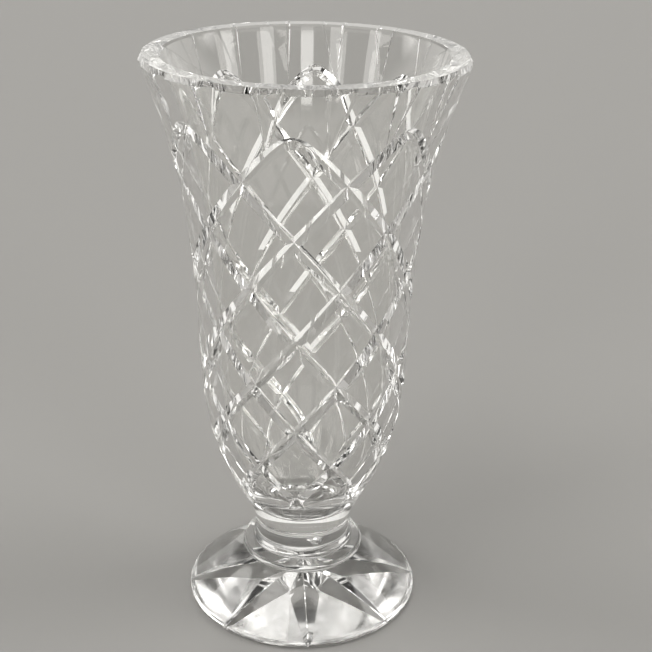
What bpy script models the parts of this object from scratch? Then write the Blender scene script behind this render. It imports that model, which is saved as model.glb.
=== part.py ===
"""Footed cut-crystal flower vase: a flared bowl, a merese collar and a round star-cut foot.

Units are metres and +Z is up. The origin is on the axis, in the plane that the foot stands on.
Three gathers of glass make the vase: the foot, the collar over it and the bowl over the collar.
The bowl carries a lattice of V cuts with an arch over each column of diamonds and upright
flutes under the rim. The foot carries a star of V cuts on its underside.
"""

import math

import bmesh
import bpy
import numpy as np
from mathutils import Matrix, Vector
from mathutils.geometry import interpolate_bezier

MM = 0.001

# Overall sizes.
HEIGHT = 180.0 * MM
RIM_RADIUS = 47.4 * MM
FOOT_RADIUS = 37.9 * MM

# Clearance between two neighbouring gathers.
SEAT_GAP = 0.3 * MM

# Foot: a disc with a rounded edge, rising in a shallow dome to a flat crown.
FOOT_EDGE_HEIGHT = 2.8 * MM
FOOT_EDGE_ROUND = 4.5 * MM
FOOT_CROWN_HEIGHT = 15.7 * MM
FOOT_CROWN_INSET = 0.5 * MM
FOOT_EDGE_LEAN = math.radians(38.0)
FOOT_CROWN_LEAN = math.radians(28.0)

# Collar: a wide ring on the foot's crown and a narrower bead under the bowl.
COLLAR_RING_HEIGHT = 2.4 * MM
COLLAR_RING_PROUD = 3.3 * MM
COLLAR_BEAD_HEIGHT = 2.3 * MM
COLLAR_BEAD_PROUD = 1.1 * MM
COLLAR_ROUND = 1.1 * MM

# Bowl: neck, waist and rim, joined by smooth stretches.
NECK_RADIUS = 15.3 * MM
NECK_RISE = 4.5 * MM
SEAT_FLARE = 0.7 * MM
WAIST_RADIUS = 32.2 * MM
WAIST_HEIGHT = 84.3 * MM
WAIST_LEAN = math.radians(1.6)
RIM_LEAN = math.radians(20.0)
WALL = 6.0 * MM
CAVITY_FLOOR = 12.0 * MM
RIM_BEVEL_WIDTH = 0.9 * MM
RIM_BEVEL_HEIGHT = 1.6 * MM
RIM_INNER_BEVEL = 0.6 * MM

# How far each stretch of the outline keeps its end direction, as a share of its height.
NECK_PULL = 0.18
BELLY_PULL = 0.65
SHOULDER_PULL = 0.55
RIM_PULL = 0.30
CAVITY_BELLY_PULL = 0.55
CAVITY_FLOOR_PULL = 0.62

# Lattice: V cuts that climb one column for each row, eight each way.
LATTICE_CUTS = 8
LATTICE_ROWS = 8
LATTICE_TURN = math.radians(-3.5)
LATTICE_ABOVE_NECK = 20.0 * MM
LATTICE_BELOW_RIM = 15.0 * MM
ROW_GROWTH = 0.47 * MM
ARCH_RISE = 14.0 * MM
CUT_DEPTH = 1.35 * MM
CROSS_CUT_EASE = 0.12 * MM
CUT_WIDTH = 3.4 * MM
CUT_RUN_OUT = 0.35
CUT_LIFT = 1.4
ARCH_JOIN = 0.1
POINTS_PER_ROW = 2

# Flutes: shallow V cuts that widen from a point on each arch's flank up to the rim.
FLUTES = 16
FLUTE_LENGTH = 20.0 * MM
FLUTE_DEPTH = 0.7 * MM
FLUTE_WIDTH = 8.6 * MM
FLUTE_START = math.radians(12.8)
FLUTE_LEAN = math.radians(4.0)
FLUTE_POINT_SHARE = 0.12

# Star: V cuts on the underside, widest at their belly and closing toward the foot's edge.
STAR_RAYS = 8
STAR_TURN = math.radians(4.4)
STAR_DEPTH = 2.6 * MM
STAR_WIDTH = 8.6 * MM
STAR_BELLY = 10.8 * MM
STAR_HUB = 2.2 * MM
STAR_MARGIN = 1.6 * MM
STAR_TIP_SHARE = 0.22
STAR_HUB_SHARE = 0.18

# Facets round the axis and along the outline's stretches.
TURN_STEPS = 40
STRETCH_POINTS = 8
CAVITY_POINTS = 6
ROUND_POINTS = 4

COLLAR_BOTTOM = FOOT_CROWN_HEIGHT + SEAT_GAP
BEAD_BOTTOM = COLLAR_BOTTOM + COLLAR_RING_HEIGHT
COLLAR_TOP = BEAD_BOTTOM + COLLAR_BEAD_HEIGHT
BOWL_BOTTOM = COLLAR_TOP + SEAT_GAP
NECK_HEIGHT = BOWL_BOTTOM + NECK_RISE
BEAD_RADIUS = NECK_RADIUS + COLLAR_BEAD_PROUD
RING_RADIUS = BEAD_RADIUS + COLLAR_RING_PROUD
CROWN_RADIUS = RING_RADIUS - FOOT_CROWN_INSET
RIM_EDGE_HEIGHT = HEIGHT - RIM_BEVEL_HEIGHT


def clear_scene():
    """Remove every object of the open scene."""
    for item in list(bpy.data.objects):
        bpy.data.objects.remove(item, do_unlink=True)


def new_collection(name):
    """Return a new collection linked to the scene."""
    group = bpy.data.collections.new(name)
    bpy.context.scene.collection.children.link(group)
    return group


def crystal(name, tint):
    """Return a clear lead-crystal material with a slight tint."""
    material = bpy.data.materials.new(name)
    material.use_nodes = True
    shader = material.node_tree.nodes["Principled BSDF"]
    shader.inputs["Base Color"].default_value = (*tint, 1.0)
    shader.inputs["Roughness"].default_value = 0.03
    shader.inputs["Metallic"].default_value = 0.0
    shader.inputs["IOR"].default_value = 1.54
    shader.inputs["Transmission Weight"].default_value = 1.0
    return material


def stretch(start, start_lean, start_pull, end, end_lean, end_pull, count):
    """Return points of a smooth stretch of outline between two (radius, height) points.

    A lean is the angle from straight up, positive outward, and a pull is a share of the height.
    """
    first = Vector((*start, 0.0))
    last = Vector((*end, 0.0))
    rise = last.y - first.y
    up_first = Vector((math.sin(start_lean), math.cos(start_lean), 0.0))
    up_last = Vector((math.sin(end_lean), math.cos(end_lean), 0.0))
    handle_first = first + up_first * rise * start_pull
    handle_last = last - up_last * rise * end_pull
    points = interpolate_bezier(first, handle_first, handle_last, last, count)
    return [(point.x, point.y) for point in points]


def arc(centre, half_width, half_height, start, end, count):
    """Return points of an elliptical arc between two angles, measured from outward to up."""
    angles = np.linspace(start, end, count)
    return [
        (centre[0] + half_width * math.cos(angle), centre[1] + half_height * math.sin(angle))
        for angle in angles
    ]


def outer_wall(count):
    """Return the bowl's outer wall from its seat up to the rim's edge."""
    seat = (NECK_RADIUS + SEAT_FLARE, BOWL_BOTTOM)
    neck = (NECK_RADIUS, NECK_HEIGHT)
    waist = (WAIST_RADIUS, WAIST_HEIGHT)
    rim = (RIM_RADIUS, RIM_EDGE_HEIGHT)
    foot_of_neck = stretch(seat, math.radians(-35.0), 0.4, neck, 0.0, 0.4, ROUND_POINTS)
    belly = stretch(neck, 0.0, NECK_PULL, waist, WAIST_LEAN, BELLY_PULL, count)
    shoulder = stretch(waist, WAIST_LEAN, SHOULDER_PULL, rim, RIM_LEAN, RIM_PULL, count)
    return foot_of_neck + belly[1:] + shoulder[1:]


def cavity_wall(count):
    """Return the bowl's inner wall from the middle of its floor up to the rim's inner edge."""
    waist = (WAIST_RADIUS - WALL, WAIST_HEIGHT)
    rim = (RIM_RADIUS - WALL / math.cos(RIM_LEAN), HEIGHT - RIM_INNER_BEVEL)
    floor = (0.0, BOWL_BOTTOM + CAVITY_FLOOR)
    lower = stretch(
        floor, math.radians(90.0), CAVITY_FLOOR_PULL * waist[0] / (waist[1] - floor[1]),
        waist, WAIST_LEAN, CAVITY_BELLY_PULL, count,
    )
    upper = stretch(waist, WAIST_LEAN, SHOULDER_PULL, rim, RIM_LEAN, RIM_PULL, count)
    return lower + upper[1:]


def outer_radius(height):
    """Return the radius of the bowl's outer wall at a height, or the rim's above it."""
    outline = np.array(outer_wall(80))
    return float(np.interp(height, outline[:, 1], outline[:, 0]))


def bowl_outline():
    """Return the bowl's section: up the cavity, over the rim and down the outside."""
    inner = cavity_wall(CAVITY_POINTS)
    inner_edge = inner[-1][0]
    lip = [(inner_edge + RIM_INNER_BEVEL, HEIGHT), (RIM_RADIUS - RIM_BEVEL_WIDTH, HEIGHT)]
    outer = outer_wall(STRETCH_POINTS)[::-1]
    return inner + lip + outer + [(0.0, BOWL_BOTTOM)]


def collar_outline():
    """Return the collar's section: the bead on top and the wide ring below it."""
    bead_middle = BEAD_BOTTOM + COLLAR_BEAD_HEIGHT / 2
    ring_middle = COLLAR_BOTTOM + COLLAR_RING_HEIGHT / 2
    half = math.pi / 2
    bead = arc(
        (BEAD_RADIUS - COLLAR_ROUND, bead_middle), COLLAR_ROUND, COLLAR_BEAD_HEIGHT / 2,
        half, -half * 0.8, ROUND_POINTS + 1,
    )
    ring = arc(
        (RING_RADIUS - COLLAR_ROUND, ring_middle), COLLAR_ROUND, COLLAR_RING_HEIGHT / 2,
        half, -half, ROUND_POINTS + 1,
    )
    return [(0.0, COLLAR_TOP)] + bead + ring + [(0.0, COLLAR_BOTTOM)]


def foot_outline():
    """Return the foot's section: the crown, the dome, the rounded edge and the flat underside."""
    edge = FOOT_EDGE_HEIGHT / 2
    crown = (CROWN_RADIUS, FOOT_CROWN_HEIGHT)
    shoulder = (FOOT_RADIUS - edge * 0.6, FOOT_EDGE_HEIGHT - edge * 0.25)
    dome = stretch(
        shoulder, FOOT_EDGE_LEAN - math.pi / 2, 0.35,
        crown, FOOT_CROWN_LEAN - math.pi / 2, 0.35, STRETCH_POINTS,
    )[::-1]
    rounded = arc(
        (FOOT_RADIUS - FOOT_EDGE_ROUND, edge), FOOT_EDGE_ROUND, edge,
        math.radians(35.0), -math.pi / 2, 6,
    )
    return [(0.0, FOOT_CROWN_HEIGHT)] + dome + rounded + [(0.0, 0.0)]


def turned(name, outline, group, material):
    """Return an object whose section is turned round the Z axis."""
    mesh = bpy.data.meshes.new(name)
    vertices = [(radius, 0.0, height) for radius, height in outline]
    edges = [(index, index + 1) for index in range(len(vertices) - 1)]
    mesh.from_pydata(vertices, edges, [])
    mesh.materials.append(material)
    item = bpy.data.objects.new(name, mesh)
    group.objects.link(item)
    screw = item.modifiers.new("turn", "SCREW")
    screw.axis = "Z"
    screw.steps = TURN_STEPS
    screw.render_steps = TURN_STEPS
    screw.use_merge_vertices = True
    screw.merge_threshold = 0.00001
    screw.use_smooth_shade = True
    return item


def rhombus(half_width, half_height):
    """Return a flat closed curve object, a rhombus used as the section of a V cut."""
    shape = bpy.data.curves.new("section", "CURVE")
    shape.dimensions = "2D"
    spline = shape.splines.new("POLY")
    spline.points.add(3)
    corners = [(half_height, 0.0), (0.0, half_width), (-half_height, 0.0), (0.0, -half_width)]
    for point, corner in zip(spline.points, corners):
        point.co = (*corner, 0.0, 1.0)
    spline.use_cyclic_u = True
    item = bpy.data.objects.new("section", shape)
    bpy.context.scene.collection.objects.link(item)
    return item


def v_cutter(name, path, scales, half_width, half_height, group):
    """Return a closed mesh cutter, a rhombus swept along a path.

    The rhombus keeps its corners pointing across the path, level and upright, and each
    path point scales it.
    """
    section = rhombus(half_width, half_height)
    shape = bpy.data.curves.new(name, "CURVE")
    shape.dimensions = "3D"
    shape.twist_mode = "Z_UP"
    shape.bevel_mode = "OBJECT"
    shape.bevel_object = section
    shape.use_fill_caps = True
    spline = shape.splines.new("POLY")
    spline.points.add(len(path) - 1)
    for point, place, scale in zip(spline.points, path, scales):
        point.co = (*place, 1.0)
        point.radius = scale
    guide = bpy.data.objects.new(name + "_guide", shape)
    group.objects.link(guide)
    bpy.context.view_layer.update()
    evaluated = guide.evaluated_get(bpy.context.evaluated_depsgraph_get())
    mesh = bpy.data.meshes.new_from_object(evaluated)
    solid = bmesh.new()
    solid.from_mesh(mesh)
    bmesh.ops.remove_doubles(solid, verts=solid.verts, dist=0.000001)
    bmesh.ops.recalc_face_normals(solid, faces=solid.faces)
    solid.to_mesh(mesh)
    solid.free()
    cutter = bpy.data.objects.new(name, mesh)
    cutter.matrix_world = guide.matrix_world.copy()
    cutter.hide_render = True
    cutter.display_type = "WIRE"
    group.objects.link(cutter)
    bpy.data.objects.remove(guide, do_unlink=True)
    bpy.data.objects.remove(section, do_unlink=True)
    return cutter


def cut(item, cutter):
    """Cut an object by a cutter."""
    modifier = item.modifiers.new(cutter.name, "BOOLEAN")
    modifier.operation = "DIFFERENCE"
    modifier.solver = "EXACT"
    modifier.object = cutter


def row_height(row):
    """Return the height of the lattice's nodes at a row, which may lie between two rows.

    Rows grow taller by the same amount from each to the next. The last row bends over
    into the crown of an arch.
    """
    bottom = NECK_HEIGHT + LATTICE_ABOVE_NECK
    top = HEIGHT - LATTICE_BELOW_RIM
    last = LATTICE_ROWS - 1
    growth = ROW_GROWTH / 2
    first_rise = (top - ARCH_RISE - bottom) / last - growth * last
    straight = min(row, last)
    height = bottom + first_rise * straight + growth * straight * straight
    share = max(0.0, row - last)
    slope = first_rise + 2 * growth * last
    bend = ARCH_RISE * share * share * (3 - 2 * share)
    return height + bend + slope * share * (1 - share) * (1 - share)


def on_bowl(azimuth, radius, height):
    """Return a point round the axis, with azimuth 0 toward -Y and growing toward +X."""
    return (radius * math.sin(azimuth), -radius * math.cos(azimuth), height)


def lattice_cutters(group):
    """Return the lattice's cutters, eight climbing each way.

    A cut that climbs to the right goes over the crown of its arch and down to the next
    node. One that climbs to the left ends at the node under the arch.
    """
    column = math.pi / LATTICE_CUTS
    last = LATTICE_ROWS - 1
    cutters = []
    for hand in (1, -1):
        depth = CUT_DEPTH if hand > 0 else CUT_DEPTH - CROSS_CUT_EASE
        end = last + ARCH_JOIN + (2 if hand > 0 else 0)
        count = round((end + CUT_RUN_OUT) * POINTS_PER_ROW) + 1
        for index in range(LATTICE_CUTS):
            start = LATTICE_TURN + index * 2 * column
            path = []
            for row in np.linspace(-CUT_RUN_OUT, end, count):
                level = min(row, 2 * LATTICE_ROWS - row)
                height = row_height(level)
                run_out = max(0.0, -row) / CUT_RUN_OUT
                radius = outer_radius(height) + depth * (1.0 + CUT_LIFT * run_out)
                path.append(on_bowl(start + hand * row * column, radius, height))
            way = "right" if hand > 0 else "left"
            name = f"lattice_{way}_{index + 1}"
            scales = [1.0] * count
            cutters.append(v_cutter(name, path, scales, CUT_WIDTH, 2 * depth, group))
    return cutters


def flute_cutter(name, low, high, outward, group):
    """Return a four-sided spike that widens from low to high, one corner facing the axis."""
    along = high - low
    across = outward.cross(along).normalized()
    upright = along.cross(across).normalized()
    turn = Matrix((across, upright, along.normalized())).transposed().to_4x4()
    size = Matrix.Diagonal((FLUTE_WIDTH, 2 * FLUTE_DEPTH, along.length, 1.0))
    place = Matrix.Translation((low + high) / 2)
    solid = bmesh.new()
    bmesh.ops.create_cone(
        solid, cap_ends=True, segments=4, radius1=FLUTE_POINT_SHARE, radius2=1.0, depth=1.0,
        matrix=place @ turn @ size,
    )
    mesh = bpy.data.meshes.new(name)
    solid.to_mesh(mesh)
    solid.free()
    cutter = bpy.data.objects.new(name, mesh)
    cutter.hide_render = True
    cutter.display_type = "WIRE"
    group.objects.link(cutter)
    return cutter


def flute_cutters(group):
    """Return the flutes' cutters, two to each arch, all leaning the same way."""
    low = HEIGHT - FLUTE_LENGTH
    high = HEIGHT + FLUTE_DEPTH
    low_radius = outer_radius(low) + 2.2 * FLUTE_DEPTH * FLUTE_POINT_SHARE
    high_radius = RIM_RADIUS + FLUTE_DEPTH + math.tan(RIM_LEAN) * (high - RIM_EDGE_HEIGHT)
    cutters = []
    for index in range(FLUTES):
        azimuth = LATTICE_TURN + FLUTE_START + index * 2 * math.pi / FLUTES
        foot_point = Vector(on_bowl(azimuth, low_radius, low))
        head_point = Vector(on_bowl(azimuth + FLUTE_LEAN, high_radius, high))
        outward = Vector(on_bowl(azimuth + FLUTE_LEAN, 1.0, 0.0))
        cutters.append(
            flute_cutter(f"flute_{index + 1}", foot_point, head_point, outward, group)
        )
    return cutters


def star_cutters(group):
    """Return the star's cutters, one for each ray of the foot's underside."""
    cutters = []
    tip = FOOT_RADIUS - STAR_MARGIN
    radii = (STAR_HUB, STAR_BELLY, tip)
    scales = (STAR_HUB_SHARE, 1.0, STAR_TIP_SHARE)
    for index in range(STAR_RAYS):
        azimuth = STAR_TURN + index * 2 * math.pi / STAR_RAYS
        path = [
            on_bowl(azimuth, radius, -STAR_DEPTH * scale) for radius, scale in zip(radii, scales)
        ]
        name = f"star_ray_{index + 1}"
        cutters.append(v_cutter(name, path, scales, STAR_WIDTH, 2 * STAR_DEPTH, group))
    return cutters


def build():
    """Build the vase's three pieces and cut them."""
    clear_scene()
    parts = new_collection("flower_vase")
    cutters = new_collection("cutters")
    foot = turned("foot", foot_outline(), parts, crystal("foot_crystal", (0.94, 0.94, 0.93)))
    turned("collar", collar_outline(), parts, crystal("collar_crystal", (0.93, 0.94, 0.94)))
    bowl = turned("bowl", bowl_outline(), parts, crystal("bowl_crystal", (0.94, 0.95, 0.94)))
    for cutter in star_cutters(cutters):
        cut(foot, cutter)
    for cutter in lattice_cutters(cutters) + flute_cutters(cutters):
        cut(bowl, cutter)


build()
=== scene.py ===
"""Looks of a footed cut-crystal flower vase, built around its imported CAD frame.

The vase is three gathers of lead crystal: the bowl, the collar and the foot. Each gets a fine
turned and cut piece that stands for its CAD solid. The gathers of the real vase are fused, so
the pieces meet ring on ring with no glass face between them, and together they enclose the
glass as one clear body.
"""

import logging
import math
from dataclasses import dataclass, field
from enum import Enum

import bmesh
import bpy
import numpy as np
from mathutils import Matrix, Vector
from mathutils.geometry import interpolate_bezier


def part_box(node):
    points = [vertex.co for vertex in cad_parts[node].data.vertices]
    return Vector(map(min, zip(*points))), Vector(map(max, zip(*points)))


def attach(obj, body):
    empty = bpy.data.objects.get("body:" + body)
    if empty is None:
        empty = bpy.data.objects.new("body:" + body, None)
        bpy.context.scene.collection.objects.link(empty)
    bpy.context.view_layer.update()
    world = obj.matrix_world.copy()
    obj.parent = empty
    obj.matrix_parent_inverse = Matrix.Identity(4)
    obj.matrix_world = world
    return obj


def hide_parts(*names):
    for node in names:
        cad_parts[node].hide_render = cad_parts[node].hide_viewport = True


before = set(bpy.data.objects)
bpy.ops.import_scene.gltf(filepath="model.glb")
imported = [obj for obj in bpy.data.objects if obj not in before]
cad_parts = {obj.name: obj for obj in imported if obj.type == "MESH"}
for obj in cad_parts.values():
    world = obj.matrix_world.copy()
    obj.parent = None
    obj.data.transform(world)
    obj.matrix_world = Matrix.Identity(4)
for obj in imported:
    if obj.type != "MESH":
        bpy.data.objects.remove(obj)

LOG = logging.getLogger("flower_vase")
MM = 0.001
AXIS_LIMIT = 1e-9  # A smaller radius than this is a point on the axis.
SEAT_LIMIT = 1e-6  # A vertex this close to a height lies at that height.
Outline = list[tuple[float, float]]


class Hand(Enum):
    """The way a lattice cut climbs, seen from outside."""

    RIGHT = 1
    LEFT = -1


class Join(Enum):
    """How two values in a node tree are put together."""

    SUM = "ADD"
    PRODUCT = "MULTIPLY"


@dataclass(frozen=True)
class VaseSizes:
    """Places that the pieces share, read from the CAD solids' boxes.

    Attributes:
        height: Height of the rim.
        rim_radius: Radius of the rim's outer edge.
        bowl_seat: Height where the bowl meets the collar.
        foot_crown: Height where the collar meets the foot.
        ring_radius: Radius of the collar's wide ring.
        foot_radius: Radius of the foot.
    """

    height: float
    rim_radius: float
    bowl_seat: float
    foot_crown: float
    ring_radius: float
    foot_radius: float

    @classmethod
    def from_frame(cls) -> "VaseSizes":
        """Read the shared places from the frame.

        Returns:
            The sizes, with each seat in the middle of the gap between two CAD solids.
        """
        bowl_low, bowl_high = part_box("bowl")
        collar_low, collar_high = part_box("collar")
        foot_low, foot_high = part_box("foot")
        return cls(
            height=bowl_high[2],
            rim_radius=(bowl_high[0] - bowl_low[0]) / 2,
            bowl_seat=(bowl_low[2] + collar_high[2]) / 2,
            foot_crown=(collar_low[2] + foot_high[2]) / 2,
            ring_radius=(collar_high[0] - collar_low[0]) / 2,
            foot_radius=(foot_high[0] - foot_low[0]) / 2,
        )


def stretch(
    start: tuple[float, float],
    start_lean: float,
    start_pull: float,
    end: tuple[float, float],
    end_lean: float,
    end_pull: float,
    count: int,
) -> Outline:
    """Draw a smooth stretch of outline between two (radius, height) points.

    Args:
        start: First point.
        start_lean: Angle from straight up at the first point, positive outward.
        start_pull: How far the start direction holds, as a share of the stretch's height.
        end: Last point.
        end_lean: Angle from straight up at the last point.
        end_pull: How far the end direction holds, as a share of the stretch's height.
        count: Number of points.

    Returns:
        The points, first and last included.
    """
    first = Vector((*start, 0.0))
    last = Vector((*end, 0.0))
    rise = last.y - first.y
    up_first = Vector((math.sin(start_lean), math.cos(start_lean), 0.0))
    up_last = Vector((math.sin(end_lean), math.cos(end_lean), 0.0))
    points = interpolate_bezier(
        first, first + up_first * rise * start_pull, last - up_last * rise * end_pull, last, count
    )
    return [(point.x, point.y) for point in points]


def arc(
    centre: tuple[float, float],
    half_width: float,
    half_height: float,
    start: float,
    end: float,
    count: int,
) -> Outline:
    """Draw an elliptical arc of outline.

    Args:
        centre: Centre of the arc.
        half_width: Its radius outward.
        half_height: Its radius upward.
        start: First angle, from outward toward up.
        end: Last angle.
        count: Number of points.

    Returns:
        The points, first and last included.
    """
    return [
        (centre[0] + half_width * math.cos(angle), centre[1] + half_height * math.sin(angle))
        for angle in np.linspace(start, end, count)
    ]


def around(azimuth: float, radius: float, height: float) -> Vector:
    """Place a point round the axis, azimuth 0 toward -Y and growing toward +X."""
    return Vector((radius * math.sin(azimuth), -radius * math.cos(azimuth), height))


def log_piece(item: bpy.types.Object) -> None:
    """Log a piece and how many faces it has."""
    LOG.info("%s: %d faces", item.name, len(item.data.polygons))


def turn(name: str, outline: Outline, steps: int) -> bpy.types.Object:
    """Turn an outline round the Z axis.

    The outline runs down its outer side. Points on the axis become single vertices.

    Args:
        name: Name of the object.
        outline: Its (radius, height) points.
        steps: Number of facets round the axis.

    Returns:
        The turned object, with faces pointing out.
    """
    angles = [2 * math.pi * step / steps for step in range(steps)]
    vertices: list[Vector] = []
    rings: list[list[int]] = []
    for radius, height in outline:
        start = len(vertices)
        if radius < AXIS_LIMIT:
            vertices.append(Vector((0.0, 0.0, height)))
            rings.append([start] * steps)
        else:
            vertices.extend(around(angle, radius, height) for angle in angles)
            rings.append(list(range(start, start + steps)))
    faces = []
    for upper, lower in zip(rings, rings[1:]):
        for step in range(steps):
            after = (step + 1) % steps
            corners = [upper[step], lower[step], lower[after], upper[after]]
            faces.append(list(dict.fromkeys(corners)))
    mesh = bpy.data.meshes.new(name)
    mesh.from_pydata(vertices, [], faces)
    item = bpy.data.objects.new(name, mesh)
    bpy.context.scene.collection.objects.link(item)
    return item


@dataclass
class Groove:
    """One V cut, laid along a path on the glass.

    Attributes:
        places: Points on the glass surface along the cut.
        outward: The surface's outward direction at each point.
        widths: Width of the cut at the surface, at each point.
        depths: Depth of the cut at each point.
        lean: How far the cut's bottom lies off its middle, as a share of half its width.
        flat: Width of the narrow flat along the cut's bottom.
        flat_share: The most of half the cut's width that the flat may take.
        reach: How far the grinding wedge stands out of the glass, as a share of its depth.
    """

    places: list[Vector]
    outward: list[Vector]
    widths: list[float]
    depths: list[float]
    lean: float = 0.0
    flat: float = 0.2 * MM
    flat_share: float = 0.3
    reach: float = 0.55

    def loft(self, solid: bmesh.types.BMesh) -> None:
        """Add the wedge that grinds this cut to a mesh.

        Args:
            solid: The mesh that the wedge is added to.
        """
        rings = []
        last = len(self.places) - 1
        for index, place in enumerate(self.places):
            along = self.places[min(index + 1, last)] - self.places[max(index - 1, 0)]
            out = self.outward[index].normalized()
            across = out.cross(along).normalized()
            out = along.cross(across).normalized()
            half = self.widths[index] / 2
            depth = self.depths[index]
            spread = 1.0 + self.reach
            bottom = place - out * depth + across * half * self.lean
            left = bottom + (out * depth - across * half * (1 + self.lean)) * spread
            right = bottom + (out * depth + across * half * (1 - self.lean)) * spread
            edge = across * min(self.flat, half * self.flat_share) / 2
            corners = (bottom + edge, bottom - edge, left, right)
            rings.append([solid.verts.new(point) for point in corners])
        sides = len(rings[0])
        for before, after in zip(rings, rings[1:]):
            for side in range(sides):
                follow = (side + 1) % sides
                solid.faces.new((before[side], before[follow], after[follow], after[side]))
        solid.faces.new(rings[0][::-1])
        solid.faces.new(rings[-1])


def grind(item: bpy.types.Object, grooves: list[Groove]) -> None:
    """Cut a set of grooves that don't cross each other into a closed piece.

    Args:
        item: The piece, cut in place.
        grooves: The cuts.
    """
    solid = bmesh.new()
    for groove in grooves:
        groove.loft(solid)
    bmesh.ops.recalc_face_normals(solid, faces=solid.faces)
    mesh = bpy.data.meshes.new("wheel")
    solid.to_mesh(mesh)
    solid.free()
    wheel = bpy.data.objects.new("wheel", mesh)
    bpy.context.scene.collection.objects.link(wheel)
    modifier = item.modifiers.new("cut", "BOOLEAN")
    modifier.operation = "DIFFERENCE"
    modifier.solver = "EXACT"
    modifier.object = wheel
    bpy.context.view_layer.update()
    evaluated = item.evaluated_get(bpy.context.evaluated_depsgraph_get())
    ground = bpy.data.meshes.new_from_object(evaluated)
    item.modifiers.clear()
    blank = item.data
    item.data = ground
    ground.name = blank.name
    bpy.data.meshes.remove(blank)
    bpy.data.objects.remove(wheel, do_unlink=True)
    bpy.data.meshes.remove(mesh)


def open_seat(item: bpy.types.Object, height: float) -> None:
    """Remove the flat disc that closes a piece where it is fused to its neighbour.

    Args:
        item: The piece.
        height: Height of the disc.
    """
    solid = bmesh.new()
    solid.from_mesh(item.data)
    disc = [
        face
        for face in solid.faces
        if all(abs(vertex.co.z - height) < SEAT_LIMIT for vertex in face.verts)
    ]
    bmesh.ops.delete(solid, geom=disc, context="FACES")
    solid.to_mesh(item.data)
    solid.free()


def polish(item: bpy.types.Object, crease: float) -> None:
    """Shade a piece smooth and keep its edges above an angle crisp.

    Args:
        item: The piece.
        crease: The angle in radians.
    """
    item.data.shade_smooth()
    item.data.set_sharp_from_angle(angle=crease)


def combine(
    tree: bpy.types.NodeTree,
    kind: Join,
    first: bpy.types.NodeSocket,
    second: bpy.types.NodeSocket,
) -> bpy.types.NodeSocket:
    """Add the sum or the product of two values to a node tree.

    Args:
        tree: The node tree.
        kind: Whether the values are added or multiplied.
        first: One value.
        second: The other value.

    Returns:
        The result.
    """
    both = tree.nodes.new("ShaderNodeMath")
    both.operation = kind.value
    tree.links.new(first, both.inputs[0])
    tree.links.new(second, both.inputs[1])
    return both.outputs["Value"]


@dataclass(frozen=True)
class CrystalSurface:
    """The shared node group for the surface of polished, hand-cut glass.

    The group takes Ripple Scale, Haze and Wear, and puts out Roughness and Height.

    Attributes:
        name: Name of the group.
        ripple_detail: Layers of noise in the slow waves of the polished surface.
        film_scale: Patches of the thin film that handling leaves, per metre.
        film_detail: Layers of noise in the film.
        rub_scale: Patches of the rubbed standing face, per metre.
        rub_detail: Layers of noise in the rubbing.
        rub_end: Height above which nothing is rubbed.
        rub_full: Height under which the glass is fully rubbed.
    """

    name: str = "crystal_waviness"
    ripple_detail: float = 1.0
    film_scale: float = 220.0
    film_detail: float = 3.0
    rub_scale: float = 250.0
    rub_detail: float = 0.5
    rub_end: float = 0.00012
    rub_full: float = 0.00004

    def group(self) -> bpy.types.NodeTree:
        """Find the group, or build it the first time.

        Returns:
            The node group.
        """
        if self.name in bpy.data.node_groups:
            return bpy.data.node_groups[self.name]
        group = bpy.data.node_groups.new(self.name, "ShaderNodeTree")
        for label in ("Ripple Scale", "Haze", "Wear"):
            group.interface.new_socket(name=label, in_out="INPUT", socket_type="NodeSocketFloat")
        for label in ("Roughness", "Height"):
            group.interface.new_socket(name=label, in_out="OUTPUT", socket_type="NodeSocketFloat")
        entry = group.nodes.new("NodeGroupInput")
        leave = group.nodes.new("NodeGroupOutput")
        place = group.nodes.new("ShaderNodeTexCoord").outputs["Object"]
        ripple = self.noise(group, place, self.ripple_detail)
        group.links.new(entry.outputs["Ripple Scale"], ripple.inputs["Scale"])
        group.links.new(ripple.outputs["Fac"], leave.inputs["Height"])
        film = self.noise(group, place, self.film_detail)
        film.inputs["Scale"].default_value = self.film_scale
        haze = combine(group, Join.PRODUCT, film.outputs["Fac"], entry.outputs["Haze"])
        scratch = self.noise(group, place, self.rub_detail)
        scratch.inputs["Scale"].default_value = self.rub_scale
        low = self.standing_face(group, place)
        rub = combine(group, Join.PRODUCT, low, scratch.outputs["Fac"])
        worn = combine(group, Join.PRODUCT, rub, entry.outputs["Wear"])
        total = combine(group, Join.SUM, haze, worn)
        group.links.new(total, leave.inputs["Roughness"])
        return group

    def noise(
        self, group: bpy.types.NodeTree, place: bpy.types.NodeSocket, detail: float
    ) -> bpy.types.Node:
        """Add a noise texture.

        Args:
            group: The node group.
            place: The socket that gives the place on the glass.
            detail: Layers of noise.

        Returns:
            The texture, with its scale left to set.
        """
        texture = group.nodes.new("ShaderNodeTexNoise")
        texture.inputs["Detail"].default_value = detail
        group.links.new(place, texture.inputs["Vector"])
        return texture

    def standing_face(
        self, group: bpy.types.NodeTree, place: bpy.types.NodeSocket
    ) -> bpy.types.NodeSocket:
        """Add a mask of the face that the vase stands on.

        Args:
            group: The node group.
            place: The socket that gives the place on the glass.

        Returns:
            The mask, 1 on the standing face and 0 on the rest.
        """
        split = group.nodes.new("ShaderNodeSeparateXYZ")
        group.links.new(place, split.inputs["Vector"])
        low = group.nodes.new("ShaderNodeMapRange")
        low.inputs["From Min"].default_value = self.rub_end
        low.inputs["From Max"].default_value = self.rub_full
        group.links.new(split.outputs["Z"], low.inputs["Value"])
        return low.outputs["Result"]


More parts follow.
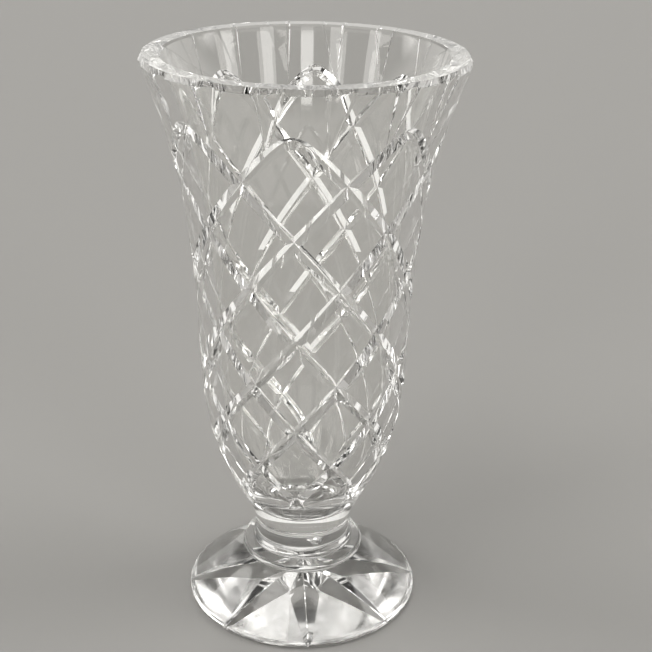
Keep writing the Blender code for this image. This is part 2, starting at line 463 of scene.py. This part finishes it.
@dataclass(frozen=True)
class CrystalFinish:
    """Polished lead crystal.

    Attributes:
        name: Name of the material.
        tint: Colour that the glass passes.
        index: Index of refraction.
        ripple_scale: Waves of the fire-polished surface per metre.
        ripple_height: Height of those waves.
        haze: Most roughness that the thin film gives the glass.
        wear: Most roughness that rubbing adds on the standing face.
        surface: The shared group for the glass surface.
    """

    name: str
    tint: tuple[float, float, float] = (0.985, 0.985, 0.975)
    index: float = 1.545
    ripple_scale: float = 60.0
    ripple_height: float = 0.00003
    haze: float = 0.012
    wear: float = 0.0
    surface: CrystalSurface = CrystalSurface()

    def material(self) -> bpy.types.Material:
        """Build the material.

        Returns:
            A clear glass whose roughness and fine waves come from the shared group.
        """
        material = bpy.data.materials.new(self.name)
        material.use_nodes = True
        nodes, links = material.node_tree.nodes, material.node_tree.links
        shader = nodes["Principled BSDF"]
        shader.inputs["Base Color"].default_value = (*self.tint, 1.0)
        shader.inputs["IOR"].default_value = self.index
        shader.inputs["Transmission Weight"].default_value = 1.0
        waviness = nodes.new("ShaderNodeGroup")
        waviness.node_tree = self.surface.group()
        waviness.inputs["Ripple Scale"].default_value = self.ripple_scale
        waviness.inputs["Haze"].default_value = self.haze
        waviness.inputs["Wear"].default_value = self.wear
        bump = nodes.new("ShaderNodeBump")
        bump.inputs["Strength"].default_value = 1.0
        bump.inputs["Distance"].default_value = self.ripple_height
        links.new(waviness.outputs["Height"], bump.inputs["Height"])
        links.new(waviness.outputs["Roughness"], shader.inputs["Roughness"])
        links.new(bump.outputs["Normal"], shader.inputs["Normal"])
        return material


@dataclass
class Piece:
    """What every gather of the vase has.

    Attributes:
        sizes: Places that the pieces share.
        steps: Facets round the axis.
        crease: Angle between two faces above which their edge stays crisp.
    """

    sizes: VaseSizes
    steps: int = 192
    crease: float = math.radians(14.0)

    def dress(self, item: bpy.types.Object, finish: CrystalFinish, node: str) -> None:
        """Give a piece its finish and its body, and hide the CAD solid that it stands for.

        Args:
            item: The piece.
            finish: Its finish.
            node: Name of the CAD solid.
        """
        item.data.materials.clear()
        item.data.materials.append(finish.material())
        polish(item, self.crease)
        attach(item, "root")
        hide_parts(node)


@dataclass
class Bowl(Piece):
    """The flared bowl: a turned wall with a lattice of V cuts, arches and flutes.

    A lean is an angle from straight up, positive outward. A pull is how far a direction
    holds along a stretch of outline, as a share of the stretch's height.

    Attributes:
        seat_radius: Radius where the bowl is fused to the collar.
        seat_lean: Lean of the outside at the seat.
        neck_radius: Radius of the narrowest place.
        neck_rise: Height of the narrowest place above the seat.
        neck_pull: Pull of both ends of the outline under the neck.
        neck_points: Points of that outline.
        waist_radius: Radius where the belly turns into the flare.
        waist_height: Height of that place.
        waist_lean: Lean there.
        rim_lean: Lean at the rim.
        belly_low_pull: Pull of the belly at the neck.
        belly_high_pull: Pull of the belly at the waist.
        flare_low_pull: Pull of the flare at the waist.
        flare_high_pull: Pull of the flare at the rim.
        wall: Thickness of the wall.
        cavity_floor: Height of the cavity's floor above the seat.
        cavity_sweep: How wide the floor sweeps, as a share of the cavity's radius.
        cavity_pull: Pull of the cavity's lower part at the waist.
        cavity_points: Points in each stretch of the cavity's wall.
        wall_points: Points in each long stretch of the outer wall.
        trace_points: The same for the fine wall that cuts are laid on.
        probe: Height above and below a place from which its slope is found.
        rim_slope: Slope of the wall carried on past the rim's edge.
        rim_bevel_width: Width of the rim's outer bevel.
        rim_bevel_height: Height of that bevel.
        rim_inner_bevel: Width and height of the rim's inner bevel.
        lattice_cuts: Cuts of the lattice each way.
        lattice_rows: Rows of the lattice from its lowest nodes to the crowns of its arches.
        lattice_turn: Angle round the axis of the first node.
        above_neck: Height of the lowest nodes above the neck.
        below_rim: Depth of the crowns below the rim.
        row_growth: How much taller each row is than the one below.
        arch_rise: Height of an arch above its nodes.
        crown_round: Roundness of the crown, as a share of a row.
        cut_depth: Depth of a cut.
        cross_cut_ease: How much shallower the crossing cuts are.
        cut_width: Width of a cut.
        run_out: Rows over which a cut's lower end runs out.
        run_out_lift: How far that end leaves the glass, as a share of the cut's depth.
        arch_join: Rows that a cut goes on past its last node.
        points_per_row: Points along a cut in each row.
        flutes: Flutes round the rim.
        flute_length: Height of a flute.
        flute_overrun: How far a flute goes on above the rim.
        flute_depth: Depth of a flute at the rim.
        flute_width: Width of a flute at the rim.
        flute_tilt: Place of a flute's bottom between its edges, -1 for left and 1 for right.
        flute_lift: How far a flute starts off the glass.
        flute_tip_width: Width of a flute's tip.
        flute_tip_depth: Depth of a flute's tip.
        flute_start: Angle round the axis from the first node to the first flute.
        flute_lean: Angle that a flute turns round the axis on its way up.
        flute_points: Points along a flute.
        edge_start: Where the fine cut starts, as a share of the flute's length.
        edge_depth: Depth of the fine cut along a flute's left edge.
        edge_width: Width of the fine cut.
        finish: Finish of the bowl.
        wall_line: The fine outer wall that cuts are laid on.
    """

    seat_radius: float = 16.0 * MM
    seat_lean: float = math.radians(-35.0)
    neck_radius: float = 15.3 * MM
    neck_rise: float = 4.5 * MM
    neck_pull: float = 0.4
    neck_points: int = 12
    waist_radius: float = 32.2 * MM
    waist_height: float = 84.3 * MM
    waist_lean: float = math.radians(1.6)
    rim_lean: float = math.radians(20.0)
    belly_low_pull: float = 0.18
    belly_high_pull: float = 0.65
    flare_low_pull: float = 0.55
    flare_high_pull: float = 0.30
    wall: float = 6.0 * MM
    cavity_floor: float = 12.0 * MM
    cavity_sweep: float = 0.62
    cavity_pull: float = 0.55
    cavity_points: int = 40
    wall_points: int = 56
    trace_points: int = 160
    probe: float = 0.5 * MM
    rim_slope: float = 0.36
    rim_bevel_width: float = 0.9 * MM
    rim_bevel_height: float = 1.6 * MM
    rim_inner_bevel: float = 0.6 * MM
    lattice_cuts: int = 8
    lattice_rows: int = 8
    lattice_turn: float = math.radians(-3.5)
    above_neck: float = 20.0 * MM
    below_rim: float = 15.0 * MM
    row_growth: float = 0.47 * MM
    arch_rise: float = 14.0 * MM
    crown_round: float = 0.2
    cut_depth: float = 1.6 * MM
    cross_cut_ease: float = 0.12 * MM
    cut_width: float = 3.6 * MM
    run_out: float = 0.35
    run_out_lift: float = 1.1
    arch_join: float = 0.1
    points_per_row: int = 14
    flutes: int = 16
    flute_length: float = 20.0 * MM
    flute_overrun: float = 1.0 * MM
    flute_depth: float = 0.65 * MM
    flute_width: float = 8.6 * MM
    flute_tilt: float = -0.72
    flute_lift: float = 0.03 * MM
    flute_tip_width: float = 0.25 * MM
    flute_tip_depth: float = 0.02 * MM
    flute_start: float = math.radians(12.8)
    flute_lean: float = math.radians(4.0)
    flute_points: int = 12
    edge_start: float = 0.08
    edge_depth: float = 0.55 * MM
    edge_width: float = 1.5 * MM
    finish: CrystalFinish = field(default_factory=lambda: CrystalFinish("bowl_crystal"))
    wall_line: np.ndarray = field(init=False)

    def __post_init__(self) -> None:
        """Keep a fine outer wall for laying cuts on."""
        self.wall_line = np.array(self.outer_wall(self.trace_points))

    @property
    def neck_height(self) -> float:
        """Height of the narrowest place."""
        return self.sizes.bowl_seat + self.neck_rise

    @property
    def rim_edge(self) -> float:
        """Height of the rim's outer edge, under its bevel."""
        return self.sizes.height - self.rim_bevel_height

    def outer_wall(self, count: int) -> Outline:
        """Draw the outer wall from the seat up to the rim's edge.

        Args:
            count: Points in each of the two long stretches.

        Returns:
            The points.
        """
        seat = (self.seat_radius, self.sizes.bowl_seat)
        neck = (self.neck_radius, self.neck_height)
        waist = (self.waist_radius, self.waist_height)
        rim = (self.sizes.rim_radius, self.rim_edge)
        lean = self.waist_lean
        under = stretch(
            seat, self.seat_lean, self.neck_pull, neck, 0.0, self.neck_pull, self.neck_points
        )
        belly = stretch(neck, 0.0, self.belly_low_pull, waist, lean, self.belly_high_pull, count)
        flare = stretch(
            waist, lean, self.flare_low_pull, rim, self.rim_lean, self.flare_high_pull, count
        )
        return under + belly[1:] + flare[1:]

    def cavity_wall(self) -> Outline:
        """Draw the inner wall from the middle of its floor up to the rim's inner edge.

        Returns:
            The points.
        """
        count = self.cavity_points
        lean = self.waist_lean
        waist = (self.waist_radius - self.wall, self.waist_height)
        rim_radius = self.sizes.rim_radius - self.wall / math.cos(self.rim_lean)
        rim = (rim_radius, self.sizes.height - self.rim_inner_bevel)
        floor = (0.0, self.sizes.bowl_seat + self.cavity_floor)
        sweep = self.cavity_sweep * waist[0] / (waist[1] - floor[1])
        lower = stretch(floor, math.pi / 2, sweep, waist, lean, self.cavity_pull, count)
        upper = stretch(
            waist, lean, self.flare_low_pull, rim, self.rim_lean, self.flare_high_pull, count
        )
        return lower + upper[1:]

    def outline(self) -> Outline:
        """Draw the section: up the cavity, over the rim and down the outside.

        Returns:
            The points.
        """
        inner = self.cavity_wall()
        height = self.sizes.height
        lip = [
            (inner[-1][0] + self.rim_inner_bevel, height),
            (self.sizes.rim_radius - self.rim_bevel_width, height),
        ]
        outer = self.outer_wall(self.wall_points)[::-1]
        return inner + lip + outer + [(0.0, self.sizes.bowl_seat)]

    def surface(self, azimuth: float, height: float) -> tuple[Vector, Vector]:
        """Find the outer wall's surface.

        Args:
            azimuth: Angle round the axis.
            height: Height above the floor.

        Returns:
            The point there and the outward direction.
        """
        wall = self.wall_line
        radius = float(np.interp(height, wall[:, 1], wall[:, 0]))
        above = float(np.interp(height + self.probe, wall[:, 1], wall[:, 0]))
        below = float(np.interp(height - self.probe, wall[:, 1], wall[:, 0]))
        slope = self.rim_slope
        if height + self.probe < self.rim_edge:
            slope = (above - below) / (2 * self.probe)
        out = around(azimuth, 1.0, 0.0) - Vector((0.0, 0.0, slope))
        if height > self.rim_edge:
            radius = self.sizes.rim_radius + (height - self.rim_edge) * slope
        return around(azimuth, radius, height), out.normalized()

    def row_height(self, row: float) -> float:
        """Find the height of a row of the lattice.

        Rows grow taller by the same amount from each to the next, and the last one bends
        over into the crown of an arch.

        Args:
            row: The row, which may lie between two rows.

        Returns:
            The height.
        """
        bottom = self.neck_height + self.above_neck
        top = self.sizes.height - self.below_rim
        last = self.lattice_rows - 1
        growth = self.row_growth / 2
        first_rise = (top - self.arch_rise - bottom) / last - growth * last
        straight = min(row, last)
        height = bottom + first_rise * straight + growth * straight * straight
        if row <= last:
            return height
        ends = math.hypot(1.0, self.crown_round) - self.crown_round
        drop = math.hypot(self.lattice_rows - row, self.crown_round) - self.crown_round
        return height + self.arch_rise * (1.0 - drop / ends)

    def lattice_groove(self, index: int, hand: Hand) -> Groove:
        """Lay one cut of the lattice.

        A right-hand cut goes over the crown of its arch and down to the next node. A
        left-hand cut ends at the node under the arch.

        Args:
            index: Number of the cut round the bowl.
            hand: The way that it climbs.

        Returns:
            The cut.
        """
        column = math.pi / self.lattice_cuts
        start = self.lattice_turn + 2 * index * column
        last = self.lattice_rows - 1
        end = last + 2 + self.arch_join if hand is Hand.RIGHT else last + self.arch_join
        depth = self.cut_depth - (0.0 if hand is Hand.RIGHT else self.cross_cut_ease)
        count = round((end + self.run_out) * self.points_per_row)
        places, outward, widths, depths = [], [], [], []
        for row in np.linspace(-self.run_out, end, count):
            level = row if row <= self.lattice_rows else 2 * self.lattice_rows - row
            place, out = self.surface(start + hand.value * row * column, self.row_height(level))
            share = 1.0 - max(0.0, -row) / self.run_out
            places.append(place + out * depth * (1.0 - share) * self.run_out_lift)
            outward.append(out)
            widths.append(self.cut_width)
            depths.append(depth)
        return Groove(places, outward, widths, depths)

    def flute_place(self, index: int, lean: float, share: float) -> tuple[Vector, Vector]:
        """Find a place on a line that climbs from a flute's tip to just past the rim.

        Args:
            index: Number of the flute round the rim.
            lean: Angle that the line turns round the axis on its way up.
            share: How far up the line the place is.

        Returns:
            The point on the wall and the outward direction.
        """
        base = self.lattice_turn + self.flute_start + 2 * math.pi * index / self.flutes
        low = self.sizes.height - self.flute_length
        high = self.sizes.height + self.flute_overrun
        return self.surface(base + lean * share, low + (high - low) * share)

    def flute(self, index: int) -> Groove:
        """Lay one flute, which widens from a point up to the rim.

        Args:
            index: Number of the flute round the rim.

        Returns:
            The cut.
        """
        places, outward, widths, depths = [], [], [], []
        for share in np.linspace(0.0, 1.0, self.flute_points):
            place, out = self.flute_place(index, self.flute_lean, share)
            places.append(place + out * self.flute_lift * (1.0 - share))
            outward.append(out)
            widths.append(max(self.flute_tip_width, self.flute_width * share))
            depths.append(max(self.flute_tip_depth, self.flute_depth * share))
        return Groove(places, outward, widths, depths, lean=self.flute_tilt)

    def flute_edge(self, index: int) -> Groove:
        """Lay the fine cut that runs up a flute's left edge.

        Args:
            index: Number of the flute round the rim.

        Returns:
            The cut.
        """
        half = self.flute_width / 2 / self.sizes.rim_radius
        places, outward, widths, depths = [], [], [], []
        for share in np.linspace(self.edge_start, 1.0, self.flute_points):
            place, out = self.flute_place(index, self.flute_lean - half, share)
            places.append(place)
            outward.append(out)
            widths.append(self.edge_width * share)
            depths.append(self.edge_depth * share)
        return Groove(places, outward, widths, depths)

    def build(self) -> bpy.types.Object:
        """Turn, cut and dress the bowl.

        Returns:
            The bowl.
        """
        item = turn("cut_bowl", self.outline(), self.steps)
        arched = [self.lattice_groove(index, Hand.RIGHT) for index in range(self.lattice_cuts)]
        crossing = [self.lattice_groove(index, Hand.LEFT) for index in range(self.lattice_cuts)]
        grind(item, arched[0::2])
        grind(item, arched[1::2])
        grind(item, crossing)
        grind(item, [self.flute(index) for index in range(self.flutes)])
        grind(item, [self.flute_edge(index) for index in range(self.flutes)])
        open_seat(item, self.sizes.bowl_seat)
        self.dress(item, self.finish, "bowl")
        return item


@dataclass
class Collar(Piece):
    """The merese: a narrow bead over a wide ring, fused to the bowl and the foot.

    Attributes:
        seat_radius: Radius where the collar is fused to the bowl.
        bead_radius: Radius of the bead.
        bead_height: Height of the bead.
        crown_inset: How far inside the ring's edge the collar is fused to the foot.
        bulge: How far the bead and the ring round out.
        bead_wrap: Share of a quarter turn that the bead rounds over, and the ring below.
        ring_wrap: Share of a quarter turn that the ring rounds over above.
        bulge_points: Points of each rounding.
        finish: Finish of the collar.
    """

    seat_radius: float = 16.0 * MM
    bead_radius: float = 16.4 * MM
    bead_height: float = 2.3 * MM
    crown_inset: float = 0.5 * MM
    bulge: float = 1.1 * MM
    bead_wrap: float = 0.75
    ring_wrap: float = 0.9
    bulge_points: int = 16
    finish: CrystalFinish = field(
        default_factory=lambda: CrystalFinish("collar_crystal", haze=0.22)
    )

    def outline(self) -> Outline:
        """Draw the section, down the bead and the ring.

        Returns:
            The points.
        """
        top = self.sizes.bowl_seat
        bottom = self.sizes.foot_crown
        step = top - self.bead_height
        quarter = math.pi / 2
        bead = arc(
            (self.bead_radius - self.bulge, (top + step) / 2),
            self.bulge,
            self.bead_height / 2,
            quarter * self.bead_wrap,
            -quarter * self.bead_wrap,
            self.bulge_points,
        )
        ring = arc(
            (self.sizes.ring_radius - self.bulge, (step + bottom) / 2),
            self.bulge,
            (step - bottom) / 2,
            quarter * self.ring_wrap,
            -quarter * self.bead_wrap,
            self.bulge_points,
        )
        seat = [(self.seat_radius, top)]
        crown = [(self.sizes.ring_radius - self.crown_inset, bottom)]
        return seat + bead + ring + crown

    def build(self) -> bpy.types.Object:
        """Turn and dress the collar.

        Returns:
            The collar.
        """
        item = turn("merese_collar", self.outline(), self.steps)
        self.dress(item, self.finish, "collar")
        return item


@dataclass
class Foot(Piece):
    """The domed round foot with a star of V cuts on its underside.

    Attributes:
        crown_inset: How far inside the collar's edge the foot is fused to the collar.
        edge_height: Height of the rounded edge.
        edge_round: How far in the edge starts to round up from the table.
        edge_start: Angle above level where the rounding starts.
        edge_points: Points of the rounding.
        edge_lean: Fall of the dome at the edge.
        shoulder_inset: How far in the dome ends, as a share of half the edge's height.
        shoulder_drop: How far below the edge's top it ends, as the same share.
        crown_lean: Fall of the dome at the crown.
        dome_pull: Pull of both ends of the dome's outline.
        dome_points: Points of the dome's outline.
        rays: Rays of the star.
        ray_depth: Depth of a ray where it is widest.
        ray_turn: Angle round the axis of the first ray.
        ray_width: Width of a ray where it is widest.
        ray_belly: Radius where a ray is widest.
        ray_hub: Radius where a ray starts.
        ray_hub_share: Width and depth of a ray's start, as a share of its most.
        ray_hub_curve: Power that bends a ray's growth from its start.
        ray_tip_share: Width and depth of a ray's tip, as a share of its most.
        ray_tip_curve: Power that bends a ray's fall to its tip.
        ray_margin: Distance of a ray's tip from the foot's edge.
        ray_points: Points along a ray.
        ray_flat: Width of the narrow flat along a ray's bottom.
        ray_reach: How far the grinding wedge stands out below, as a share of its depth.
        finish: Finish of the foot.
    """

    crown_inset: float = 0.5 * MM
    edge_height: float = 2.8 * MM
    edge_round: float = 4.5 * MM
    edge_start: float = math.radians(35.0)
    edge_points: int = 14
    edge_lean: float = math.radians(38.0)
    shoulder_inset: float = 0.6
    shoulder_drop: float = 0.25
    crown_lean: float = math.radians(28.0)
    dome_pull: float = 0.35
    dome_points: int = 28
    rays: int = 8
    ray_depth: float = 2.6 * MM
    ray_turn: float = math.radians(4.4)
    ray_width: float = 8.9 * MM
    ray_belly: float = 10.8 * MM
    ray_hub: float = 1.5 * MM
    ray_hub_share: float = 0.16
    ray_hub_curve: float = 0.9
    ray_tip_share: float = 0.22
    ray_tip_curve: float = 1.1
    ray_margin: float = 1.6 * MM
    ray_points: int = 24
    ray_flat: float = 0.35 * MM
    ray_reach: float = 0.2
    finish: CrystalFinish = field(
        default_factory=lambda: CrystalFinish("foot_crystal", wear=0.36)
    )

    def outline(self) -> Outline:
        """Draw the section: the crown, the dome, the rounded edge and the underside.

        Returns:
            The points.
        """
        edge = self.edge_height / 2
        radius = self.sizes.foot_radius
        crown = (self.sizes.ring_radius - self.crown_inset, self.sizes.foot_crown)
        shoulder = (
            radius - edge * self.shoulder_inset,
            self.edge_height - edge * self.shoulder_drop,
        )
        dome = stretch(
            shoulder, self.edge_lean - math.pi / 2, self.dome_pull,
            crown, self.crown_lean - math.pi / 2, self.dome_pull, self.dome_points,
        )[::-1]
        rounded = arc(
            (radius - self.edge_round, edge), self.edge_round, edge,
            self.edge_start, -math.pi / 2, self.edge_points,
        )
        return [(0.0, self.sizes.foot_crown)] + dome + rounded + [(0.0, 0.0)]

    def ray_share(self, radius: float, tip: float) -> float:
        """Find how wide and deep a ray is at a radius.

        Args:
            radius: The radius.
            tip: Radius of the ray's tip.

        Returns:
            Its width and depth there, as a share of their most.
        """
        if radius < self.ray_belly:
            rise = (1.0 - self.ray_hub_share) * (radius - self.ray_hub)
            share = self.ray_hub_share + rise / (self.ray_belly - self.ray_hub)
            return share ** self.ray_hub_curve
        fall = ((radius - self.ray_belly) / (tip - self.ray_belly)) ** self.ray_tip_curve
        return 1.0 - (1.0 - self.ray_tip_share) * fall

    def ray(self, index: int) -> Groove:
        """Lay one ray of the star.

        Args:
            index: Number of the ray.

        Returns:
            The cut.
        """
        azimuth = self.ray_turn + 2 * math.pi * index / self.rays
        tip = self.sizes.foot_radius - self.ray_margin
        places, widths, depths = [], [], []
        for radius in np.linspace(self.ray_hub, tip, self.ray_points):
            share = self.ray_share(radius, tip)
            places.append(around(azimuth, radius, 0.0))
            widths.append(self.ray_width * share)
            depths.append(self.ray_depth * share)
        outward = [Vector((0.0, 0.0, -1.0))] * len(places)
        return Groove(places, outward, widths, depths, flat=self.ray_flat, reach=self.ray_reach)

    def build(self) -> bpy.types.Object:
        """Turn, cut and dress the foot.

        Returns:
            The foot.
        """
        item = turn("star_cut_foot", self.outline(), self.steps)
        rays = [self.ray(index) for index in range(self.rays)]
        grind(item, rays[0::2])
        grind(item, rays[1::2])
        open_seat(item, self.sizes.foot_crown)
        self.dress(item, self.finish, "foot")
        return item


@dataclass
class DomePaint:
    """Shader nodes that paint soft lights on the studio's dome.

    Attributes:
        tree: The world's node tree.
        direction: Socket with the direction from the vase to a place on the dome.
        level: Socket with that direction laid flat.
        high: Socket with the sine of its elevation.
    """

    tree: bpy.types.NodeTree
    direction: bpy.types.NodeSocket = field(init=False)
    level: bpy.types.NodeSocket = field(init=False)
    high: bpy.types.NodeSocket = field(init=False)

    def __post_init__(self) -> None:
        """Add the nodes that every light reads."""
        nodes, links = self.tree.nodes, self.tree.links
        self.direction = nodes.new("ShaderNodeTexCoord").outputs["Generated"]
        flat = nodes.new("ShaderNodeVectorMath")
        flat.operation = "MULTIPLY"
        flat.inputs[1].default_value = (1.0, 1.0, 0.0)
        links.new(self.direction, flat.inputs[0])
        level = nodes.new("ShaderNodeVectorMath")
        level.operation = "NORMALIZE"
        links.new(flat.outputs["Vector"], level.inputs[0])
        self.level = level.outputs["Vector"]
        split = nodes.new("ShaderNodeSeparateXYZ")
        links.new(self.direction, split.inputs["Vector"])
        self.high = split.outputs["Z"]

    def toward(
        self, direction: bpy.types.NodeSocket, azimuth: float, elevation: float
    ) -> bpy.types.NodeSocket:
        """Compare a direction with a place on the dome.

        Args:
            direction: The direction.
            azimuth: Angle of the place round the vase.
            elevation: Its angle above the floor.

        Returns:
            The cosine of the angle between them.
        """
        aim = self.tree.nodes.new("ShaderNodeVectorMath")
        aim.operation = "DOT_PRODUCT"
        aim.inputs[1].default_value = around(azimuth, math.cos(elevation), math.sin(elevation))
        self.tree.links.new(direction, aim.inputs[0])
        return aim.outputs["Value"]

    def ramp(
        self, value: bpy.types.NodeSocket, start: float, end: float, low: float, high: float
    ) -> bpy.types.NodeSocket:
        """Turn a value into a smooth ramp.

        Args:
            value: The value.
            start: Where the ramp starts.
            end: Where it ends.
            low: What it gives at its start.
            high: What it gives at its end.

        Returns:
            The ramp.
        """
        step = self.tree.nodes.new("ShaderNodeMapRange")
        step.interpolation_type = "SMOOTHSTEP"
        limits = {"From Min": start, "From Max": end, "To Min": low, "To Max": high}
        for label, number in limits.items():
            step.inputs[label].default_value = number
        self.tree.links.new(value, step.inputs["Value"])
        return step.outputs["Result"]


@dataclass(frozen=True)
class SoftBox:
    """A round soft light on the studio's dome.

    Attributes:
        azimuth: Angle round the vase in degrees, 0 toward the camera, growing to its right.
        elevation: Angle above the floor in degrees.
        spread: Angle from its middle to its edge, in degrees.
        edge: Angle over which its edge fades, in degrees.
        strength: Brightness.
    """

    azimuth: float
    elevation: float
    spread: float
    edge: float
    strength: float

    def glow(self, paint: DomePaint) -> bpy.types.NodeSocket:
        """Paint the light.

        Args:
            paint: The dome's nodes.

        Returns:
            Its brightness over the dome.
        """
        azimuth, elevation = math.radians(self.azimuth), math.radians(self.elevation)
        aim = paint.toward(paint.direction, azimuth, elevation)
        edge = math.cos(math.radians(self.spread + self.edge))
        return paint.ramp(aim, edge, math.cos(math.radians(self.spread)), 0.0, self.strength)


@dataclass(frozen=True)
class StripLight:
    """An upright strip of light on the studio's dome.

    Attributes:
        azimuth: Angle round the vase in degrees, 0 toward the camera, growing to its right.
        spread: Angle from its middle to its side, in degrees.
        low: Elevation of its lower end in degrees.
        high: Elevation of its upper end in degrees.
        strength: Brightness.
        side_fade: Angle over which its sides fade, in degrees.
        end_fade: Angle over which its ends fade, in radians.
    """

    azimuth: float
    spread: float
    low: float
    high: float
    strength: float
    side_fade: float = 1.0
    end_fade: float = 0.03

    def glow(self, paint: DomePaint) -> bpy.types.NodeSocket:
        """Paint the light.

        Args:
            paint: The dome's nodes.

        Returns:
            Its brightness over the dome.
        """
        aim = paint.toward(paint.level, math.radians(self.azimuth), 0.0)
        edge = math.cos(math.radians(self.spread + self.side_fade))
        glow = paint.ramp(aim, edge, math.cos(math.radians(self.spread)), 0.0, self.strength)
        ends = []
        for end, fade in ((self.low, self.end_fade), (self.high, -self.end_fade)):
            angle = math.radians(end)
            inner = math.sin(angle + fade)
            ends.append(paint.ramp(paint.high, math.sin(angle), inner, 0.0, 1.0))
        span = combine(paint.tree, Join.PRODUCT, *ends)
        return combine(paint.tree, Join.PRODUCT, glow, span)


@dataclass
class Studio:
    """A pale floor, a dome of soft light and the camera.

    Attributes:
        sizes: Places that the pieces share.
        floor_radius: Radius of the floor.
        floor_facets: Sides of the floor's edge.
        floor_gap: How far the floor lies below the foot.
        floor_colour: Colour of the floor.
        floor_roughness: Roughness of the floor.
        light_colour: Colour of all the light.
        ambient: Brightness of the dome above the backdrop, between the lights.
        backdrop_glow: Brightness of the backdrop near the horizon.
        backdrop_top: Elevation in degrees up to which the backdrop is bright.
        backdrop_fade: Angle in degrees over which it then fades.
        camera_distance: Camera's distance from the axis, in heights of the vase.
        camera_rise: Camera's height, in heights of the vase.
        camera_side: How far to the right it stands, in heights of the vase.
        camera_pitch: Angle that it looks down.
        camera_roll: Angle that it is rolled, in radians.
        camera_near: Nearest distance that it sees.
        camera_far: Farthest distance that it sees.
        lens: Its focal length in millimetres.
        glass_bounces: Times that light may pass through glass, or bounce in all.
        gloss_bounces: Times that light may bounce off a polished face.
        floor_bounces: Times that light may bounce off a dull face.
        spark_limit: Most brightness of one ray that has bounced.
        boxes: The soft boxes.
        strips: The upright strips.
    """

    sizes: VaseSizes
    floor_radius: float = 1.35
    floor_facets: int = 128
    floor_gap: float = 0.05 * MM
    floor_colour: tuple[float, float, float] = (0.39, 0.384, 0.373)
    floor_roughness: float = 0.8
    light_colour: tuple[float, float, float] = (1.0, 0.985, 0.955)
    ambient: float = 0.05
    backdrop_glow: float = 1.0
    backdrop_top: float = 12.0
    backdrop_fade: float = 5.0
    camera_distance: float = 1.9725
    camera_rise: float = 1.40624
    camera_side: float = 0.03827
    camera_pitch: float = math.radians(24.03)
    camera_roll: float = 0.0154
    camera_near: float = 0.01
    camera_far: float = 50.0
    lens: float = 68.95
    glass_bounces: int = 32
    gloss_bounces: int = 16
    floor_bounces: int = 4
    spark_limit: float = 8.0
    boxes: tuple[SoftBox, ...] = (
        SoftBox(0.0, 90.0, 32.0, 5.0, 0.85),
        SoftBox(-50.0, 58.0, 13.0, 3.0, 3.2),
        SoftBox(95.0, 32.0, 13.0, 3.0, 4.0),
        SoftBox(-100.0, 30.0, 13.0, 3.0, 4.0),
        SoftBox(180.0, 36.0, 10.0, 3.0, 1.6),
    )
    strips: tuple[StripLight, ...] = (
        StripLight(0.0, 5.0, 15.0, 30.0, 4.0),
        StripLight(-27.0, 5.5, 15.0, 32.0, 3.6),
        StripLight(-62.0, 5.0, 15.0, 32.0, 3.6),
        StripLight(36.0, 5.5, 15.0, 32.0, 3.6),
        StripLight(74.0, 5.0, 15.0, 32.0, 3.6),
    )

    def floor(self) -> bpy.types.Object:
        """Lay the floor.

        Returns:
            The floor.
        """
        solid = bmesh.new()
        bmesh.ops.create_circle(
            solid, cap_ends=True, radius=self.floor_radius, segments=self.floor_facets,
            matrix=Matrix.Translation((0.0, 0.0, -self.floor_gap)),
        )
        mesh = bpy.data.meshes.new("floor")
        solid.to_mesh(mesh)
        solid.free()
        item = bpy.data.objects.new("floor", mesh)
        bpy.context.scene.collection.objects.link(item)
        material = bpy.data.materials.new("floor_paper")
        material.use_nodes = True
        shader = material.node_tree.nodes["Principled BSDF"]
        shader.inputs["Base Color"].default_value = (*self.floor_colour, 1.0)
        shader.inputs["Roughness"].default_value = self.floor_roughness
        mesh.materials.append(material)
        return item

    def dome(self) -> None:
        """Light the studio from a dome with a bright backdrop, soft boxes and strips."""
        world = bpy.data.worlds.new("studio")
        bpy.context.scene.world = world
        world.use_nodes = True
        tree = world.node_tree
        paint = DomePaint(tree)
        top = math.radians(self.backdrop_top)
        faded = math.radians(self.backdrop_top + self.backdrop_fade)
        total = paint.ramp(
            paint.high, math.sin(faded), math.sin(top), self.ambient, self.backdrop_glow
        )
        for light in self.boxes + self.strips:
            total = combine(tree, Join.SUM, total, light.glow(paint))
        background = tree.nodes["Background"]
        tree.links.new(total, background.inputs["Strength"])
        background.inputs["Color"].default_value = (*self.light_colour, 1.0)

    def camera(self) -> bpy.types.Object:
        """Set up the camera.

        Returns:
            The camera.
        """
        height = self.sizes.height
        data = bpy.data.cameras.new("camera")
        data.lens = self.lens
        data.clip_start = self.camera_near
        data.clip_end = self.camera_far
        item = bpy.data.objects.new("camera", data)
        place = Matrix.Translation(
            (self.camera_side * height, -self.camera_distance * height, self.camera_rise * height)
        )
        tilt = Matrix.Rotation(math.pi / 2 - self.camera_pitch, 4, "X")
        roll = Matrix.Rotation(self.camera_roll, 4, "Z")
        item.matrix_world = place @ tilt @ roll
        bpy.context.scene.collection.objects.link(item)
        bpy.context.scene.camera = item
        return item

    def light_paths(self) -> None:
        """Let light pass through the many faces of the cut glass."""
        scene = bpy.context.scene
        scene.view_settings.view_transform = "Standard"
        scene.cycles.max_bounces = self.glass_bounces
        scene.cycles.transmission_bounces = self.glass_bounces
        scene.cycles.glossy_bounces = self.gloss_bounces
        scene.cycles.diffuse_bounces = self.floor_bounces
        scene.cycles.sample_clamp_indirect = self.spark_limit


def main() -> None:
    """Build the vase's pieces and the studio, in order."""
    logging.basicConfig(level=logging.INFO, format="%(name)s: %(message)s")
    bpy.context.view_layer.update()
    sizes = VaseSizes.from_frame()
    for gather in (Foot(sizes), Collar(sizes), Bowl(sizes)):
        log_piece(gather.build())
    studio = Studio(sizes)
    log_piece(studio.floor())
    studio.dome()
    studio.camera()
    studio.light_paths()


if __name__ == "__main__":
    main()
